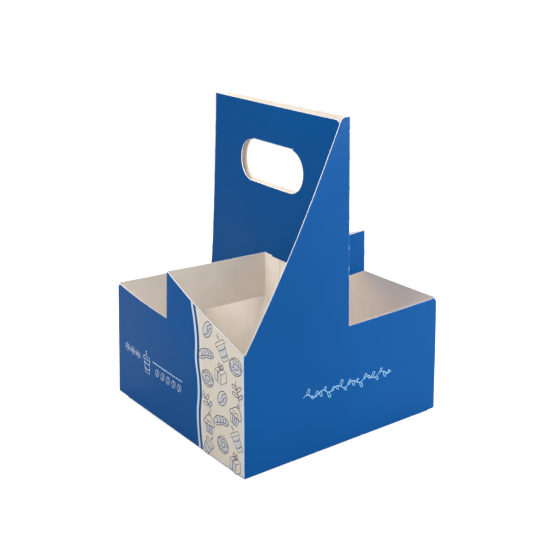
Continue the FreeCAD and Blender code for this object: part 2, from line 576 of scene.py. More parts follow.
@dataclass
class Settling:
    """How the stiff card bends, leans and sags once the carrier stands folded up.

    The amounts are in millimetres and follow the photograph, and each fades out smoothly
    towards the corners and the floor.
    """

    card: FoldedCard
    left_bulge: float = 4.3
    left_return: float = 0.55
    middle_shift: float = 3.9
    right_pinch: float = 2.2
    tilt: float = 1.66
    tilt_x: float = 0.54
    tilt_y: float = 1.64
    twist: float = -0.54
    left_dip: float = 2.65
    back_dip: float = 1.6
    front_dip: float = 1.45
    divider_rise: float = 0.9
    divider_sag: float = 1.85
    left_spread: float = 1.3
    right_spread: float = 2.0
    wing_bow: float = 3.6
    wing_top_reach: float = 6.0
    wing_foot_reach: float = 83.0
    skew: float = 5.8
    skew_power: float = 0.65
    front_lift: float = 0.84
    fold_lift: float = 1.45
    back_lift: float = -0.2
    foot_drop: float = 3.6
    foot_fade: float = 50.0
    front_panel_bend: float = 7.1
    back_panel_bend: float = 2.4
    straight_share: float = 0.7
    straight_reach: float = 50.0
    fold_hold: float = 4.0
    end_hold: float = 10.0
    panel_reach: float = 4.5
    wall_reach: float = 1.3
    panel_start: float = 1.7
    ramp_power: float = 1.5
    riser_spring: float = 16.0
    spring_power: float = 1.3
    lean_start: float = 22.0
    bend_fade: float = 70.0
    end_stretch: float = 4.5
    stretch_gap: float = 5.0
    stretch_reach: float = 34.0
    tie_bulge: float = 0.2
    tie_reach: float = 2.4
    tie_width: float = 1.5

    def on_panel(self, at: Vector) -> bool:
        """Whether a point lies on a handle panel, or on a tab between the panels."""
        if at.z > self.card.divider_height + 0.5:
            return abs(at.x) < self.panel_reach
        by_strip = abs(at.y) < self.card.divider_offset + 0.6
        foot = self.card.wall_height + (TOUCH if self.by_wall(at) else -TOUCH)
        return at.z > foot and self.panel_start < abs(at.x) < self.panel_reach and not by_strip

    def by_wall(self, at: Vector) -> bool:
        """Whether a point is on or close to the front or the back wall's plane."""
        return abs(at.y) > -self.card.front_at(at.z) - self.wall_reach

    def on_wing(self, at: Vector) -> bool:
        """Whether a point lies on a wing, or on the fold beside it."""
        return at.z > self.card.wall_height and self.by_wall(at)

    def place(self, at: Vector) -> Vector:
        """Where a point of the flat-sided carrier ends up.

        Args:
            at: The point in millimetres.

        Returns:
            The point on the settled card.
        """
        handle = self.on_wing(at) or self.on_panel(at)
        move = self.handle_move(at) if handle else self.tub_move(at)
        return at + move + self.tie_move(at)

    def rim_lift(self, at: Vector) -> float:
        """How far the rim stands above or below its level at a place."""
        along_x = at.x / self.card.half_length
        along_y = at.y / self.card.half_width
        left = self.left_dip * (1 - along_y**2) * (1 - along_x) / 2
        front = self.front_dip * (1 - along_x**2) * (1 - along_y) / 2
        back = self.back_dip * (1 - along_x**2) * (1 + along_y) / 2
        level = self.tilt + self.tilt_x * along_x + self.tilt_y * along_y
        return level + self.twist * along_x * along_y - left - front - back

    def tub_move(self, at: Vector) -> Vector:
        """The move of a point of the tub, the riser or the divider strips."""
        rise = min(max(at.z / self.card.wall_height, 0.0), 1.0)
        ramp = sin(rise * pi / 2) ** self.ramp_power
        above = max(at.z - self.card.wall_height, 0.0)
        spread = cos(min(abs(at.y) / self.card.half_width, 1.0) * pi / 2)
        along = at.x / self.card.half_length
        strip_share = above / (self.card.divider_height - self.card.wall_height)
        left = self.left_bulge - self.left_return * strip_share
        end = left if along < 0 else self.right_pinch
        shift = self.middle_shift + (end - self.middle_shift) * abs(along)
        by_divider = max(1 - (at.y / self.card.half_width) ** 2, 0.0) * max(1 - abs(along), 0.0)
        lift = self.rim_lift(at) - self.divider_sag * by_divider
        lift += self.divider_rise * strip_share * (1 - along) / 2
        if along > 0:
            outward = self.right_spread * along * ramp
        else:
            outward = self.left_spread * along * (1 + at.y / self.card.half_width) / 2
        return Vector((outward - shift * spread * ramp + self.riser_lean(at), 0, lift * ramp))

    def riser_lean(self, at: Vector) -> float:
        """How far the free far end of the left riser layer springs away from the other layer."""
        past = at.y - self.lean_start
        on_layer = -self.card.fold_radius - 0.4 < at.x < 0 and at.z < self.card.wall_height + 0.5
        on_wall = at.y > -self.card.front_at(at.z) - self.card.card - 0.1
        if not on_layer or on_wall or past <= 0:
            return 0.0
        share = past / (self.card.half_width - self.lean_start)
        return -self.riser_spring * share**self.spring_power * max(at.z, 0.0) / self.card.wall_height

    def handle_move(self, at: Vector) -> Vector:
        """The move of a point of a wing or a handle panel."""
        card = self.card
        height = (at.z - card.wall_height) / (card.handle_height - card.wall_height)
        skew = self.skew * max(height, 0.0) ** self.skew_power
        away = (at.y + card.half_width) / card.width
        lift = self.rim_lift(at) * (1 - height)
        move = Vector((skew * max(away, 0.0) ** self.ramp_power, 0, 0))
        front = at.y < 0
        if self.on_wing(at):
            side = -1 if front else 1
            fold_x = -side * card.handle_spread / 2
            reach = abs(at.x - fold_x)
            slant = self.wing_top_reach + self.wing_foot_reach * (1 - height)
            share = min(reach / slant, 1.0)
            move.x *= 1 - share
            move.y += side * self.wing_bow * sin(pi * height) * share
            lift += (self.front_lift + self.fold_lift if front else self.back_lift) * height
        else:
            raised = self.front_lift + self.fold_lift * (1 - away)
            lift += (raised if at.x > 0 else self.back_lift) * height
            lift -= self.foot_drop * self.free_share(at) * self.fade(at.z, self.foot_fade)
            if at.x < 0:
                past_slot = (-at.y - card.slot_length / 2 - self.stretch_gap) / self.stretch_reach
                move.y -= self.end_stretch * min(max(past_slot, 0.0), 1.0)
            bend = self.back_panel_bend
            if at.x > 0:
                past_middle = min(max(at.y / self.straight_reach, 0.0), 1.0)
                bend = self.front_panel_bend * (1 - self.straight_share * past_middle)
            move.x -= bend * self.free_share(at) * self.fade(at.z, self.bend_fade)
        move.z = lift
        return move

    def fade(self, height: float, length: float) -> float:
        """One below the panels' feet, falling smoothly to nothing over a length above them."""
        share = min(max((height - self.card.divider_height) / length, 0.0), 1.0)
        return 0.5 + 0.5 * cos(share * pi)

    def free_share(self, at: Vector) -> float:
        """How freely a point of a panel moves: nothing at its fold, all at the middle."""
        side = 1 if at.x > 0 else -1
        from_fold = at.y * side + self.card.half_width - self.fold_hold
        share = min(max(from_fold / (self.card.half_width - self.end_hold), 0.0), 1.0)
        return 0.5 - 0.5 * cos(share * pi)

    def upright_folds(self, height: float) -> list:
        """The perforated upright folds at a height.

        Args:
            height: The height in millimetres.

        Returns:
            Each fold's corner, X and Y, and its outward direction, X and Y.
        """
        card = self.card
        half = (
            (card.handle_spread / 2, card.front_at(height), 1, -1),
            (card.left_at(height), card.divider_offset, -1, 1),
            (-card.riser_clearance, card.divider_offset, 1, 1),
        )
        return [*half, *((-x, -y, -out_x, -out_y) for x, y, out_x, out_y in half)]

    def tie_move(self, at: Vector) -> Vector:
        """The small bulge where an uncut tie holds a perforated fold together."""
        if at.z < self.card.wall_height:
            return Vector()
        past_tie = (at.z - self.card.tie_start) % self.card.tie_spacing
        off_tie = min(past_tie, self.card.tie_spacing - past_tie)
        strength = self.tie_bulge * exp(-((off_tie / self.tie_width) ** 2))
        for x, y, out_x, out_y in self.upright_folds(at.z):
            nearness = 1 - hypot(at.x - x, at.y - y) / self.tie_reach
            if nearness > 0:
                return Vector((out_x, out_y, 0)) * strength * nearness
        return Vector()

    def settle(self, piece: Piece) -> None:
        """Bends a piece's mesh to where the settled card is."""
        for vertex in piece.data.vertices:
            vertex.co = self.place(vertex.co / MM) * MM
        piece.data.update()


@dataclass
class HandTab:
    """The card pushed out of a hand slot, folded up between the two handle panels."""

    card: FoldedCard
    shift: float
    height: float = 14.0
    corner_radius: float = 6.0
    clearance: float = 0.3
    lean: float = 3.2

    def build(self) -> Piece:
        """Builds the tab behind the left panel.

        Returns:
            The tab with its fold, in the flat-sided carrier.
        """
        card = self.card
        thick = card.card
        hinge_z = card.handle_height - card.slot_drop + card.tab_rise
        panel_x = -card.handle_spread / 2 + thick / 2
        tab_x = panel_x + thick + self.clearance
        hinge_x = (panel_x + tab_x) / 2
        size = (thick, card.tab_length - 1, self.height)
        tab = block("hand_tab", size, (tab_x, self.shift, hinge_z + self.height / 2))
        top = hinge_z + self.height - 1
        select(Domain.EDGE, lambda at, along, edge: abs(along.x) > ALONG and at.z > top)
        bpy.ops.mesh.bevel(offset=self.corner_radius * MM, segments=6, profile=0.5)
        bpy.ops.mesh.select_all(action="SELECT")
        turn = radians(self.lean)
        foot = metres(tab_x, 0, hinge_z)
        bpy.ops.transform.rotate(value=-turn, orient_axis="Y", center_override=foot)
        select(Domain.FACE, lambda at, normal: normal.z < -ALONG)
        fold(pi - turn, card.fold_steps, (hinge_x, 0, hinge_z), (0, 1, 0))
        bpy.ops.mesh.select_all(action="SELECT")
        bpy.ops.mesh.normals_make_consistent(inside=False)
        leave_all()
        add_slots(tab)
        for face in tab.data.polygons:
            at = face.center / MM
            hinge = Vector((hinge_x, at.y, hinge_z))
            face.material_index = self.coat(face.normal, at, hinge).value
        return tab

    def coat(self, normal: Vector, at: Vector, hinge: Vector) -> "Coat":
        """Which finish a face of the tab has."""
        if at.z < hinge.z and abs(normal.y) < 0.5:
            outside = normal.dot(at - hinge) > 0
            # The outside of the tab's fold gets the fold's painted highlight.
            return Coat.FOLD if outside else Coat.BOARD
        if normal.x > ALONG:
            return Coat.PRINT
        if normal.x < -ALONG:
            return Coat.BOARD
        return Coat.EDGE


@dataclass
class GlueFlap:
    """The flap at the foot of an end wall, glued down on a floor half."""

    card: FoldedCard
    depth: float = 26.0
    taper: float = 10.0
    end_gap: float = 4.0
    glue_gap: float = 0.1

    def build(self) -> Piece:
        """Builds the flap of the front wall on the left floor half.

        Returns:
            The flap, in the flat-sided carrier.
        """
        card = self.card
        start = -card.half_length + self.end_gap
        end = -card.riser_clearance - card.card - self.end_gap / 2
        near = -card.half_width + card.card
        foot = card.card + self.glue_gap
        middle = ((start + end) / 2, near + self.depth / 2, foot + card.card / 2)
        flap = block("glue_flap", (end - start, self.depth, card.card), middle)
        for corner, side in ((start, -1), (end, 1)):
            bpy.ops.mesh.select_all(action="SELECT")
            cut((corner, near, 0), (side * self.depth, self.taper, 0), clear_outer=True)
            select(Domain.EDGE, lambda at, along, edge: edge.is_boundary)
            bpy.ops.mesh.edge_face_add()
        leave_all()
        add_slots(flap)
        for face in flap.data.polygons:
            flat = abs(face.normal.z) > ALONG
            face.material_index = (Coat.BOARD if flat else Coat.EDGE).value
        return flap


class Motif(Enum):
    """The small line drawings of the printed band, as strokes in millimetres.

    A stroke is whether it is smooth, whether it is closed, and its points.
    """

    CUP = (
        (False, True, ((-3.4, 2.6), (-2.5, -6.2), (2.5, -6.2), (3.4, 2.6))),
        (False, True, ((-4.1, 2.6), (-3.5, 4.6), (3.5, 4.6), (4.1, 2.6))),
        (True, False, ((-3.2, 0.3), (0, -0.3), (3.2, 0.3))),
        (True, False, ((-2.8, -3.4), (0, -4.0), (2.8, -3.4))),
        (True, False, ((-0.6, 5.6), (0.5, 6.6), (-0.5, 7.4), (0.4, 8.4))),
    )
    BEAN = (
        (True, True, (
            (0, 4.8), (2.7, 3.0), (3.3, 0), (2.5, -3.2), (0, -4.8), (-2.7, -3.0), (-3.3, 0), (-2.5, 3.2),
        )),
        (True, False, ((0.7, 4.5), (-0.9, 1.6), (0.9, -1.5), (-0.6, -4.5))),
        (True, False, ((1.6, 2.8), (1.0, 1.2), (1.9, -0.6))),
    )
    RING = (
        (True, True, (
            (5, 0), (3.5, 3.4), (0, 4.8), (-3.5, 3.4), (-5, 0), (-3.5, -3.4), (0, -4.8), (3.5, -3.4),
        )),
        (True, True, ((1.8, 0), (0, 1.6), (-1.8, 0), (0, -1.6))),
        (True, False, (
            (4.3, 1.0), (3.0, 2.3), (1.4, 2.6), (0, 3.6), (-1.6, 2.8), (-3.4, 2.4), (-4.2, 0.6),
        )),
        (True, False, (
            (4.4, -1.4), (3.2, -2.0), (2.4, -3.2), (0.4, -3.0), (-1.4, -3.8), (-3.2, -2.4), (-4.3, -1.0),
        )),
        (False, False, ((2.6, 0.8), (3.2, 1.4))),
        (False, False, ((-2.9, 0.6), (-2.3, 1.3))),
        (False, False, ((-2.2, -1.9), (-1.4, -2.2))),
    )
    CAKE = (
        (False, True, ((-3.6, -0.6), (-2.7, -5.4), (2.7, -5.4), (3.6, -0.6))),
        (True, True, (
            (-4.4, -0.4), (-4.8, 1.2), (-3.4, 2.6), (-1.8, 4.8), (0.6, 5.6), (2.8, 4.4),
            (4.2, 2.6), (4.9, 0.8), (4.2, -0.5), (2.2, 0.0), (0, -0.7), (-2.2, 0.0),
        )),
        (False, False, ((-1.7, -1.0), (-1.3, -5.2))),
        (False, False, ((0, -1.0), (0, -5.2))),
        (False, False, ((1.7, -1.0), (1.3, -5.2))),
        (True, False, ((-2.4, 2.4), (-1.0, 1.4), (0.8, 2.2), (2.4, 1.2))),
        (True, True, ((0.6, 5.8), (1.5, 6.6), (0.6, 7.5), (-0.3, 6.6))),
    )
    BOX = (
        (False, True, ((-4.6, 1.6), (0.6, -0.6), (0.6, -6.4), (-4.6, -4.0))),
        (False, True, ((0.6, -0.6), (5.0, 2.0), (5.0, -3.6), (0.6, -6.4))),
        (False, True, ((-4.6, 1.6), (-0.2, 4.2), (5.0, 2.0), (0.6, -0.6))),
        (False, False, ((-2.2, 0.6), (2.4, 3.1), (2.4, 3.1))),
        (False, False, ((-2.2, 0.6), (-2.2, -5.1))),
        (True, True, ((0.2, 2.2), (-1.8, 4.6), (-0.6, 5.8), (0.2, 2.4), (1.4, 5.6), (2.6, 4.2))),
    )
    LOAF = (
        (True, True, (
            (-6.6, -1.6), (-5.2, 1.6), (0, 2.8), (5.4, 1.4),
            (6.8, -1.2), (5.2, -2.4), (0, -2.0), (-5.4, -2.6),
        )),
        (True, False, ((-3.8, 1.8), (-3.0, 0.4), (-3.6, -0.8))),
        (True, False, ((-1.0, 2.4), (-0.2, 0.8), (-0.8, -0.6))),
        (True, False, ((1.8, 2.4), (2.6, 0.8), (2.0, -0.6))),
        (True, False, ((4.4, 1.6), (5.0, 0.4), (4.6, -0.6))),
        (True, False, ((-5.6, -1.4), (0, -0.9), (5.8, -1.4))),
    )
    SPRIG = (
        (True, False, ((0, -6.4), (0.5, -2.0), (-0.2, 2.4), (0.4, 6.2))),
        (True, True, ((0.3, -3.4), (2.6, -3.4), (4.2, -1.4), (1.8, -1.8))),
        (True, True, ((0.3, -2.0), (-2.2, -2.0), (-3.8, 0.2), (-1.4, -0.4))),
        (True, True, ((0.1, 0.6), (2.2, 0.8), (3.6, 2.8), (1.4, 2.2))),
        (True, True, ((0, 2.0), (-2.0, 2.2), (-3.0, 4.4), (-1.0, 3.6))),
    )


class Wall(Enum):
    """A wall that carries a print."""

    LEFT = "left"
    FRONT = "front"


@dataclass
class Prints:
    """What is printed on the walls over the blue, each print once and once half turned."""

    card: FoldedCard
    settling: Settling
    ground_width: float = 80.0
    ground_height: float = 0.03
    margin_height: float = 0.036
    stripe_height: float = 0.045
    line_height: float = 0.07
    white_stripe: float = 2.3
    navy_stripe: float = 2.7
    margin: float = 2.6
    tint_height: float = 0.05
    ink_thickness: float = 0.02
    line_width: float = 0.46
    line_flatness: float = 0.12
    rule_width: float = 0.8
    rule_step: float = 3.0
    rule_points: int = 15
    tint_scale: float = 0.8
    tint_shift: tuple = (0.5, -0.3)
    sway: float = 0.9
    turn_step: float = 16.0
    stem_steps: int = 22
    stem_length: float = 82.0
    stem_sway: float = 1.7
    leaf_length: float = 3.2
    leaf_change: float = 1.2
    flourish_width: float = 0.6
    motif_scale: float = 1.3
    motif_spacing: float = 18.0
    near_edge: float = 84.7
    rim_gap: float = 0.3
    corner_edge: float = 85.9
    columns: tuple = ((-44.6, 7.5, 100.0), (-60.8, 16.0, 92.0), (-77.0, 8.0, 84.0))
    border: tuple = (
        (-27.6, 114.0), (-28.4, 110.4), (-31.4, 100.0), (-33.7, 86.0), (-33.3, 71.0),
        (-35.1, 58.0), (-35.0, 45.0), (-32.7, 30.7), (-32.3, 16.5), (-33.7, 0.8), (-34.0, -4.0),
    )

    def build(self) -> None:
        """Prints the band with its drawings, the emblem and the flourish."""
        inner = -self.navy_stripe
        bands = (
            ("print_ground", 0, -self.ground_width, self.ground_height, (0.64, 0.58, 0.50)),
            ("print_margin", 0, inner - self.margin, self.margin_height, (0.64, 0.63, 0.6)),
            ("print_navy", 0, inner, self.stripe_height, (0.022, 0.05, 0.16)),
            ("print_white", self.white_stripe, 0, self.stripe_height, (0.50, 0.65, 0.79)),
        )
        for name, start, end, height, colour in bands:
            self.band(name, start, end, height, Ink(name + "_ink", colour))
        # The pale strip by the corner is a painted highlight of the corner fold, not print.
        self.edge_strip(Ink("edge_highlight_ink", (0.55, 0.63, 0.70)))
        drawn, tinted = self.drawings()
        self.finish_print(tinted, Ink("tint_ink", (0.5, 0.52, 0.54)))
        self.finish_print(drawn, Ink("drawing_ink", (0.085, 0.10, 0.15)))
        self.finish_print(self.emblem(), Ink("emblem_ink", (0.62, 0.76, 0.9)))
        self.finish_print(self.flourish(), Ink("flourish_ink", (0.32, 0.58, 0.84)))

    def on_wall(self, wall: Wall, u: float, v: float, height: float) -> Vector:
        """A point over a wall before the card settles.

        Args:
            wall: Which wall.
            u: The place along the wall, Y on the left one and X on the front one.
            v: The height over the table.
            height: How far it stands off the card.

        Returns:
            The point in millimetres.
        """
        if wall is Wall.LEFT:
            return Vector((self.card.left_at(v) - height, u, v))
        return Vector((u, self.card.front_at(v) - height, v))

    def band(self, name: str, start: float, end: float, height: float, ink: "Ink") -> None:
        """Prints a band that follows the wavy border of the left wall.

        Args:
            name: The print's name.
            start: Where it starts from the border, along Y.
            end: Where it ends.
            height: How far it stands off the card.
            ink: Its finish.
        """
        points = [self.on_wall(Wall.LEFT, u + start, v, height) for u, v in self.border]
        card = self.card
        band = self.pulled(name, (True, False, points), end - start)
        corner = -card.front_at(card.wall_height) - card.fold_radius
        rise = card.divider_height - card.wall_height
        slope = rise / (corner + card.divider_offset - card.fold_radius)
        for point, normal in (
            ((0, 0, card.fold_radius), (0, 0, -1)),
            ((0, -self.near_edge, 0), (0, -1, card.lean)),
            ((0, -corner, card.wall_height - self.rim_gap), (0, -slope, 1)),
        ):
            bpy.ops.mesh.select_all(action="SELECT")
            cut(point, normal, clear_outer=True)
        if end - start < -2 * card.cell_size:
            place = -self.near_edge + card.cell_size
            while place < 0:
                bpy.ops.mesh.select_all(action="SELECT")
                cut((0, place, 0), (0, 1, 0))
                place += card.cell_size
        self.face_left(band)
        self.finish_print(band, ink)

    def pulled(self, name: str, stroke: tuple, width: float) -> Piece:
        """Pulls a stroke on the left wall along Y into an open band, left in edit mode."""
        band = self.lines(name, [stroke], 0)
        edit_all(band)
        bpy.ops.mesh.extrude_edges_move(TRANSFORM_OT_translate={"value": metres(0, width, 0)})
        return band

    def lines(self, name: str, strokes: list, width: float) -> Piece:
        """Draws strokes as one mesh, as tubes of a width or as bare edges.

        Args:
            name: The new object's name.
            strokes: Each stroke's smoothness, closedness and points in millimetres.
            width: The width of the line, or 0 for bare edges.

        Returns:
            The drawing as a mesh.
        """
        drawing = bpy.data.curves.new(name, "CURVE")
        drawing.dimensions = "3D"
        drawing.resolution_u = 6
        drawing.bevel_depth = width / 2 * MM
        drawing.bevel_resolution = 0
        drawing.use_fill_caps = True
        for stroke in strokes:
            self.add_stroke(drawing, stroke)
        return self.as_mesh(name, drawing)

    def add_stroke(self, drawing: bpy.types.Curve, stroke: tuple) -> None:
        """Adds a stroke to a drawing: its smoothness, its closedness and its points."""
        smooth, closed, points = stroke
        spline = drawing.splines.new("BEZIER")
        spline.bezier_points.add(len(points) - 1)
        spline.use_cyclic_u = closed
        kind = "AUTO" if smooth else "VECTOR"
        for knot, point in zip(spline.bezier_points, points):
            knot.co = metres(*point) if len(point) == 3 else metres(*point, 0)
            knot.handle_left_type = kind
            knot.handle_right_type = kind

    def as_mesh(self, name: str, drawing: bpy.types.Curve) -> Piece:
        """Turns a drawing into a mesh of its own."""
        work_on(linked(name, drawing))
        bpy.ops.object.convert(target="MESH")
        return bpy.context.object

    def stamp(self, drawing: Piece, where: tuple, off: float, turn: float, size: float) -> Piece:
        """Copies a flat drawing onto a wall.

        Args:
            drawing: The drawing in the XY plane.
            where: The wall, the middle's place along it and the middle's height.
            off: How far it stands off the card.
            turn: Its turn in radians.
            size: Its scale.

        Returns:
            The copy, with its own mesh.
        """
        wall, u, v = where
        copy = linked(drawing.name, drawing.data.copy())
        middle = self.on_wall(wall, u, v, off) * MM
        above = (self.on_wall(wall, u, v + 1, off) * MM - middle).normalized()
        out = Vector((-1, 0, 0)) if wall is Wall.LEFT else Vector((0, -1, 0))
        across = above.cross(out).normalized()
        facing = Matrix((across, above, across.cross(above))).transposed().to_4x4()
        flat = Matrix.Diagonal((size, size, self.line_flatness, 1))
        copy.data.transform(Matrix.Translation(middle) @ facing @ Matrix.Rotation(turn, 4, "Z") @ flat)
        return copy

    def joined(self, name: str, pieces: list) -> Piece:
        """Joins pieces into one object of a name."""
        leave_all()
        for piece in pieces:
            piece.select_set(True)
        bpy.context.view_layer.objects.active = pieces[0]
        bpy.ops.object.join()
        pieces[0].name = name
        pieces[0].data.name = name
        return pieces[0]

    def edge_strip(self, ink: "Ink") -> None:
        """Lays the narrow pale strip between the band and the corner, a painted highlight beside the corner
        fold.
        """
        ends = (self.card.fold_radius, self.card.wall_height)
        lean = self.card.lean
        edge = self.corner_edge
        points = [self.on_wall(Wall.LEFT, lean * v - edge, v, self.ground_height) for v in ends]
        strip = self.pulled("edge_highlight_strip", (False, False, points), edge - self.near_edge)
        self.face_left(strip)
        self.finish_print(strip, ink)

    def face_left(self, band: Piece) -> None:
        """Makes the faces of a band in edit mode look away from the left wall, and ends the edit."""
        bpy.ops.mesh.select_all(action="SELECT")
        bpy.ops.mesh.normals_make_consistent(inside=False)
        faces = bmesh.from_edit_mesh(band.data).faces
        faces.ensure_lookup_table()
        if faces[0].normal.x > 0:
            bpy.ops.mesh.flip_normals()
        leave_all()

    def tint(self, motif: Motif) -> Piece:
        """The flat pale shape behind a motif's closed strokes."""
        shape = bpy.data.curves.new(motif.name.lower() + "_tint", "CURVE")
        shape.dimensions = "2D"
        shape.fill_mode = "BOTH"
        smooth, _, points = next(stroke for stroke in motif.value if stroke[1])
        scale = self.tint_scale
        right, up = self.tint_shift
        inside = [(x * scale + right, y * scale + up) for x, y in points]
        self.add_stroke(shape, (smooth, True, inside))
        return self.as_mesh(shape.name, shape)

    def drawings(self) -> tuple:
        """Scatters the small drawings over the pale band in staggered columns.

        Returns:
            The drawn lines and the pale tints behind them, one object each.
        """
        plates = [self.lines(motif.name.lower(), motif.value, self.line_width) for motif in Motif]
        tints = [self.tint(motif) for motif in Motif]
        stamps = []
        shades = []
        for column, (place, low, high) in enumerate(self.columns):
            height = low
            row = 0
            while height < high:
                index = (row * 3 + column * 2) % len(plates)
                turn = radians(((row * 2 + column) % 5 - 2) * self.turn_step)
                sway = self.sway * (-1) ** (row + column)
                where = (Wall.LEFT, place + sway, height)
                laid = (turn, self.motif_scale)
                stamps.append(self.stamp(plates[index], where, self.line_height, *laid))
                shades.append(self.stamp(tints[index], where, self.tint_height, *laid))
                height += self.motif_spacing
                row += 1
        for plate in plates + tints:
            bpy.data.objects.remove(plate)
        return self.joined("print_drawings", stamps), self.joined("print_tints", shades)

    def emblem(self) -> Piece:
        """A plain ornament of leaves, a cup, a rule and beans on the left wall."""
        half_rule = self.rule_step * (self.rule_points - 1) / 2
        rule = [(self.rule_step * step - half_rule, 0) for step in range(self.rule_points)]
        plates = {
            motif: self.lines(motif.name.lower(), motif.value, self.flourish_width)
            for motif in (Motif.CUP, Motif.SPRIG, Motif.BEAN)
        }
        plates["rule"] = self.lines("rule", [(False, False, rule)], self.rule_width)
        places = [(Motif.CUP, 38.0, 41.5, 0, 1.25), ("rule", 8.0, 46.5, 0, 1)]
        for step in range(3):
            places.append((Motif.SPRIG, 69.0 - 8.5 * step, 43.5, radians(78), 0.75))
        for step in range(5):
            places.append((Motif.BEAN, 23.0 - 7.8 * step, 39.4, radians(-30), 0.7))
        stamps = [
            self.stamp(plates[key], (Wall.LEFT, u, v), self.line_height, turn, size)
            for key, u, v, turn, size in places
        ]
        for plate in plates.values():
            bpy.data.objects.remove(plate)
        return self.joined("print_emblem", stamps)

    def flourish(self) -> Piece:
        """A winding twig with small leaves on the front wall."""
        count = self.stem_steps
        step_length = self.stem_length / count
        stem = [
            (step_length * (step - count / 2), self.stem_sway * sin(step * 1.7))
            for step in range(count + 1)
        ]
        strokes = [(True, False, stem)]
        for step in range(1, count):
            u, v = stem[step]
            side = 1 if step % 2 else -1
            length = side * (self.leaf_length + self.leaf_change * sin(step * 2.3))
            leaf = ((u, v), (u + 0.2, v + length * 0.6), (u + 1.9, v + length), (u + 1.6, v + length * 0.3))
            strokes.append((True, True, leaf))
        twig = self.lines("twig", strokes, self.flourish_width)
        stamp = self.stamp(twig, (Wall.FRONT, 1.8, 45.6), self.line_height, radians(-1), 1)
        bpy.data.objects.remove(twig)
        return self.joined("print_flourish", [stamp])

    def thicken(self, piece: Piece) -> None:
        """Gives an open print its thickness towards the card, which closes its mesh."""
        edit_all(piece)
        open_edges = select(Domain.EDGE, lambda at, along, edge: edge.is_boundary)
        leave_all()
        if open_edges:
            apply_modifier(piece, "SOLIDIFY", thickness=self.ink_thickness * MM, offset=-1)

    def finish_print(self, piece: Piece, ink: "Ink") -> None:
        """Lays a print on the settled card, copies it half turned and gives it its ink.

        Args:
            piece: The print over the flat-sided walls.
            ink: Its finish.
        """
        material = ink.material()
        for print_piece in (piece, turned_copy(piece)):
            self.settling.settle(print_piece)
            self.thicken(print_piece)
            print_piece.data.materials.clear()
            print_piece.data.materials.append(material)
            register(print_piece)


@dataclass(frozen=True)
class Ink:
    """A printed ink under the varnish."""

    name: str
    colour: tuple
    roughness: float = 0.42
    gloss: float = 0.1

    def material(self) -> bpy.types.Material:
        """Makes the ink's material, a little uneven as print on board is."""
        recipe = Recipe(self.name)
        tone = recipe.mix_colour(recipe.noise(900, 3), self.shade(0.94), self.shade(1.06))
        return recipe.finished(tone, self.roughness, self.gloss, recipe.noise(1400, 2), 0.04)

    def shade(self, factor: float) -> tuple:
        """The ink's colour made darker or lighter."""
        return (*(min(channel * factor, 1.0) for channel in self.colour), 1)


class Tree:
    """A node tree while it is put together."""

    def __init__(self, tree: bpy.types.NodeTree) -> None:
        """Takes the tree to work on."""
        self.nodes = tree.nodes
        self.links = tree.links

    def feed(self, socket: Socket, value: object) -> None:
        """Joins an input to another socket, or sets it to a constant."""
        if isinstance(value, Socket):
            self.links.new(value, socket)
        else:
            socket.default_value = value

    def node(self, kind: str, inputs: dict) -> bpy.types.Node:
        """Adds a shader node and feeds its inputs."""
        node = self.nodes.new("ShaderNode" + kind)
        for key, value in inputs.items():
            self.feed(node.inputs[key], value)
        return node

    def maths(self, operation: str, first: Socket, second: object) -> Socket:
        """A Math node's value from a socket and a number or another socket."""
        node = self.node("Math", {0: first, 1: second})
        node.operation = operation
        return node.outputs["Value"]


class Recipe(Tree):
    """A material's node tree, with its shader and its coordinates."""

    def __init__(self, name: str) -> None:
        """Starts a material with a Principled shader and object coordinates."""
        self.material = bpy.data.materials.new(name)
        self.material.use_nodes = True
        super().__init__(self.material.node_tree)
        self.shader = self.nodes["Principled BSDF"]
        self.place = self.node("TexCoord", {}).outputs["Object"]

    def stretched(self, x: float, y: float, z: float) -> Socket:
        """Object coordinates scaled along each axis."""
        return self.node("Mapping", {"Scale": (x, y, z), "Vector": self.place}).outputs["Vector"]

    def noise(self, scale: float, detail: float, place: Socket = None) -> Socket:
        """A noise texture's value.

        Args:
            scale: How fine it is, in cycles a metre.
            detail: How many finer layers it has.
            place: The coordinates, or None for plain object coordinates.

        Returns:
            The noise's value socket.
        """
        inputs = {"Scale": scale, "Detail": detail, "Vector": place or self.place}
        return self.node("TexNoise", inputs).outputs["Fac"]

    def spread(self, value: Socket, start: tuple, end: tuple = (0, 1)) -> Socket:
        """Maps a value from one range to another, clamped."""
        ranges = {"From Min": start[0], "From Max": start[1], "To Min": end[0], "To Max": end[1]}
        return self.node("MapRange", {"Value": value, **ranges}).outputs["Result"]

    def height(self) -> Socket:
        """The height over the table."""
        return self.node("SeparateXYZ", {"Vector": self.place}).outputs["Z"]

    def mix_colour(self, factor: Socket, first: object, second: object) -> Socket:
        """A blend of two colours, or of two colour sockets."""
        mix = self.node("Mix", {})
        mix.data_type = "RGBA"
        self.feed(mix.inputs["Factor"], factor)
        for name, colour in (("A", first), ("B", second)):
            socket = next(item for item in mix.inputs if item.name == name and item.type == "RGBA")
            self.feed(socket, colour)
        return next(item for item in mix.outputs if item.type == "RGBA")

    def finished(
        self,
        colour: object,
        roughness: object,
        gloss: float,
        grain: Socket = None,
        strength: float = 0.0,
    ) -> bpy.types.Material:
        """Feeds the shader.

        Args:
            colour: The base colour, as a constant or a socket.
            roughness: The roughness, as a constant or a socket.
            gloss: The strength of the mirror part.
            grain: The height of a fine bump, or None for none.
            strength: The bump's strength.

        Returns:
            The finished material.
        """
        self.feed(self.shader.inputs["Base Color"], colour)
        self.feed(self.shader.inputs["Roughness"], roughness)
        self.feed(self.shader.inputs["Specular IOR Level"], gloss)
        if grain:
            bump = self.node("Bump", {"Strength": strength, "Distance": GRAIN_DEPTH, "Height": grain})
            self.feed(self.shader.inputs["Normal"], bump.outputs["Normal"])
        return self.material


